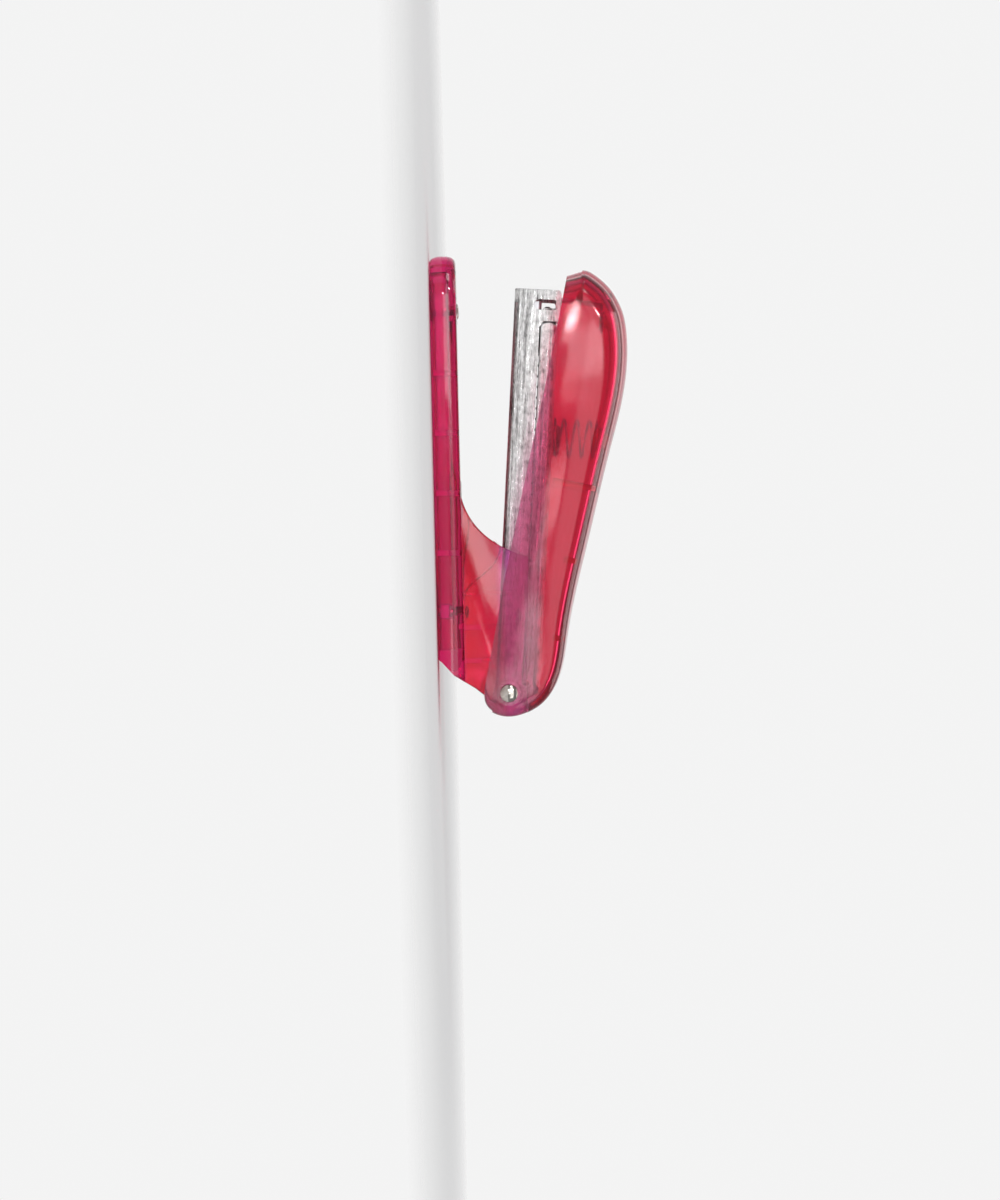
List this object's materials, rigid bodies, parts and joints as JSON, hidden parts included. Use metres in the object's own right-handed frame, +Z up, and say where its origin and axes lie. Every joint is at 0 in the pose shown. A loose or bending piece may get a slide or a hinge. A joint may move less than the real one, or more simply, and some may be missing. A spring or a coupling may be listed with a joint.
{
  "type": "stapler",
  "caption": "Small hand stapler with see-through moulded handle and base, folded steel magazine, coil handle spring and domed hinge rivet, open at rest.",
  "frame": {"origin": "under the middle of the whole stapler, on the surface that it stands on", "axes": "+X from the mouth to the hinge, +Z up from the base, Y across; the stapler is the same on both sides of Y = 0"},
  "size_m": [0.1, 0.0242, 0.0425],
  "materials": {
    "handle_plastic": "clear crimson moulded plastic, glossy",
    "base_plastic": "clear magenta moulded plastic, glossy",
    "zinc_steel": "zinc-plated folded sheet, fine lengthwise grain",
    "spring_steel": "drawn spring steel",
    "rivet_steel": "nickel-plated, domed and polished"
  },
  "bodies": {
    "base": {"base_body": "base_plastic", "anvil_plate": "zinc_steel", "anvil_rivet_right": "rivet_steel", "anvil_rivet_left": "rivet_steel", "lift_spring": "spring_steel", "lift_spring_rivet": "rivet_steel", "hinge_pin": "rivet_steel", "pivot_sleeve": "zinc_steel"},
    "magazine": {"magazine": "zinc_steel", "staple_rail": "zinc_steel"},
    "cover": {"magazine_cover": "zinc_steel", "spring_anchor_pin": "rivet_steel", "pusher_rod": "spring_steel", "pusher_spring": "spring_steel", "spring_seat": "zinc_steel", "handle_spring": "spring_steel"},
    "pusher": {"pusher": "spring_steel"},
    "handle": {"handle_shell": "handle_plastic", "driver_blade": "spring_steel"}
  },
  "joints": [
    {"name": "magazine_tilt", "type": "hinge", "parent": "base", "child": "magazine", "pos_m": [0.04471, 0, 0.0151], "axis": [0, 1, 0], "range_deg": [-7.9, 0], "stiffness_Nm_per_rad": 0.4, "springref_deg": 17.19, "deforming": ["lift_spring"]},
    {"name": "cover_open", "type": "hinge", "parent": "magazine", "child": "cover", "pos_m": [0.04471, 0, 0.0151], "axis": [0, 1, 0], "range_deg": [0, 100]},
    {"name": "handle_press", "type": "hinge", "parent": "cover", "child": "handle", "pos_m": [0.04471, 0, 0.0151], "axis": [0, 1, 0], "range_deg": [-6, 0], "stiffness_Nm_per_rad": 0.5, "springref_deg": 17.19, "deforming": ["handle_spring"]},
    {"name": "pusher_slide", "type": "slide", "parent": "cover", "child": "pusher", "axis": [0.9973, 0, -0.0741], "range_m": [0, 0.049], "stiffness_N_per_m": 20, "springref_m": -0.04, "deforming": ["pusher_spring"]}
  ]
}
